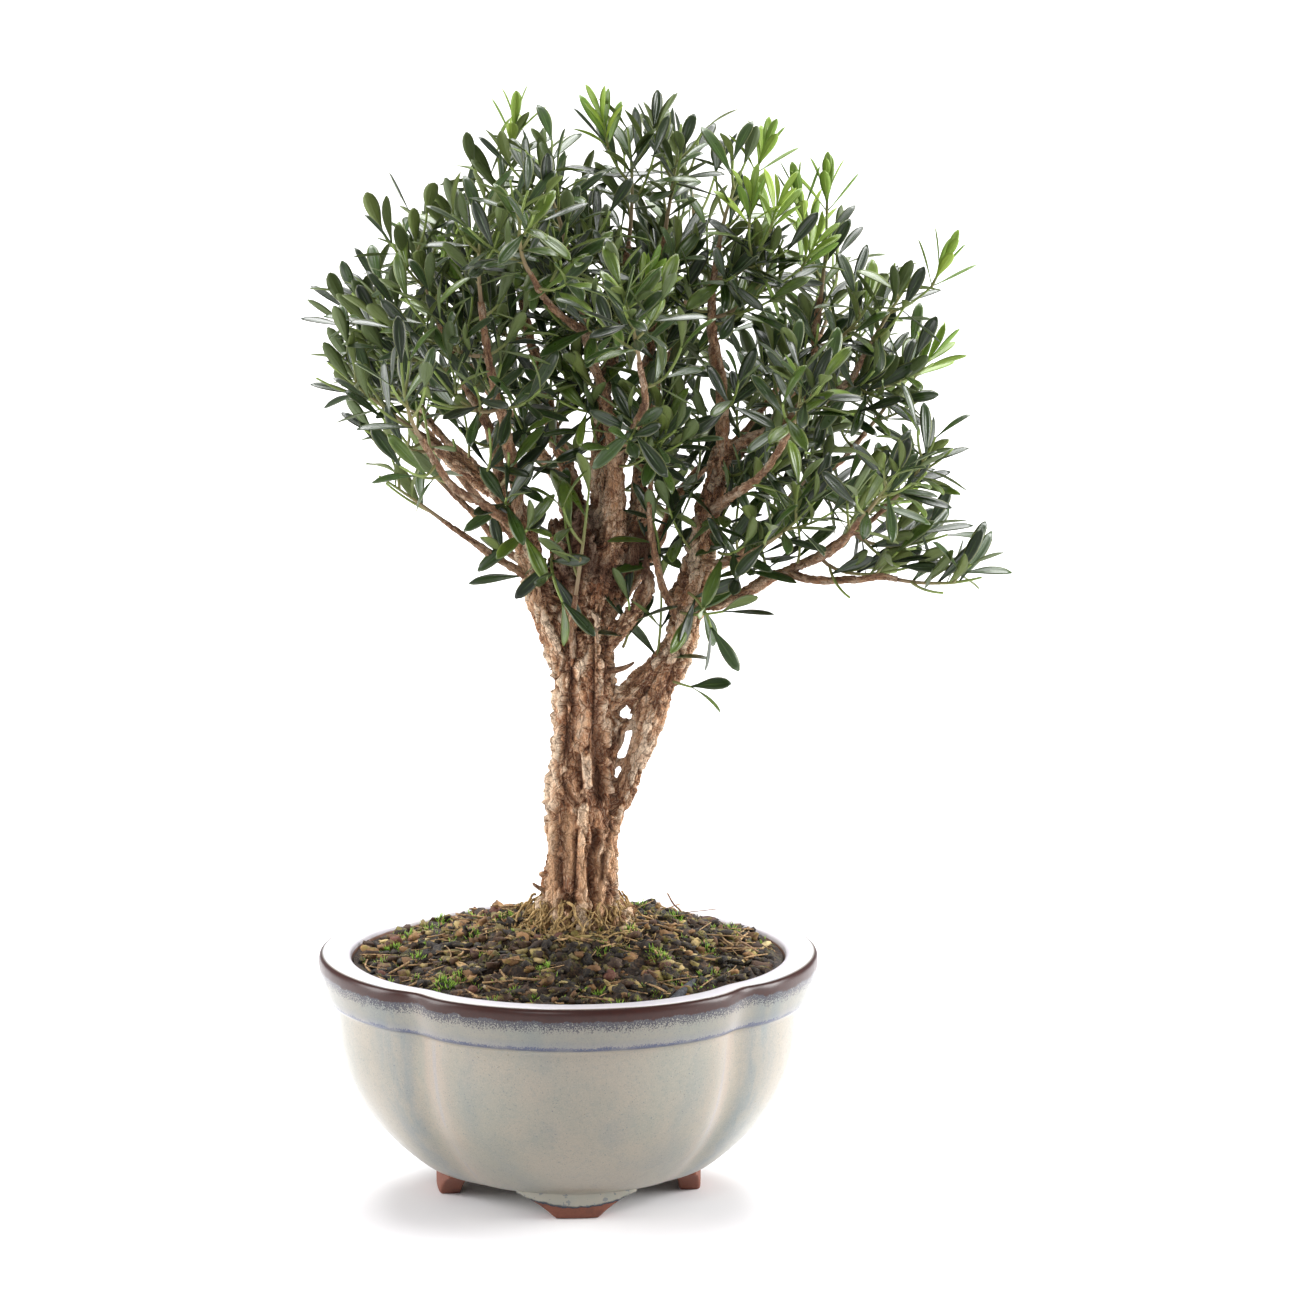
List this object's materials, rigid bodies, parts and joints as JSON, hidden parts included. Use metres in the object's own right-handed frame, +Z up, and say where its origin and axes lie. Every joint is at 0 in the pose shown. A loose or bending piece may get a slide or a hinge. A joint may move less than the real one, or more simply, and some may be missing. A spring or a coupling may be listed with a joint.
{
  "type": "potted boxwood bonsai",
  "caption": "Chinese boxwood bonsai with corky branching trunk and small spoon-shaped leaves, standing in soil in a lobed, glazed pot on bracket feet.",
  "frame": {"origin": "on the surface the pot stands on, under the middle of the whole object's outer box", "axes": "+Z up, the longest way; -Y towards the front, where the wide side of the crown and one lobe of the pot are seen; +X to the right, where the low branch reaches out"},
  "size_m": [0.2932, 0.217, 0.4486],
  "materials": {
    "glazed_pot": "gloss",
    "drain_screen": "matte",
    "soil": "matte",
    "bark": "matte",
    "foliage": "satin"
  },
  "bodies": {
    "root": {"pot": "glazed_pot", "drain_screen": "drain_screen", "soil": "soil", "wood": "bark", "spray_01": "foliage", "spray_02": "foliage", "spray_03": "foliage", "spray_04": "foliage", "spray_05": "foliage", "spray_06": "foliage", "spray_07": "foliage", "spray_08": "foliage", "spray_09": "foliage", "spray_10": "foliage", "spray_11": "foliage", "spray_12": "foliage", "spray_13": "foliage", "spray_14": "foliage", "spray_15": "foliage", "spray_16": "foliage", "spray_17": "foliage", "spray_18": "foliage", "spray_19": "foliage", "spray_20": "foliage", "spray_21": "foliage", "spray_22": "foliage", "spray_23": "foliage", "spray_24": "foliage", "spray_25": "foliage", "spray_26": "foliage", "spray_27": "foliage", "spray_28": "foliage", "spray_29": "foliage", "spray_30": "foliage", "spray_31": "foliage", "spray_32": "foliage", "spray_33": "foliage", "spray_34": "foliage", "spray_35": "foliage", "spray_36": "foliage", "spray_37": "foliage", "spray_38": "foliage", "spray_39": "foliage", "spray_40": "foliage", "spray_41": "foliage", "spray_42": "foliage", "spray_43": "foliage", "spray_44": "foliage", "spray_45": "foliage", "spray_46": "foliage", "spray_47": "foliage", "spray_48": "foliage", "spray_49": "foliage", "spray_50": "foliage", "spray_51": "foliage", "spray_52": "foliage", "spray_53": "foliage", "spray_54": "foliage", "spray_55": "foliage"}
  },
  "joints": []
}
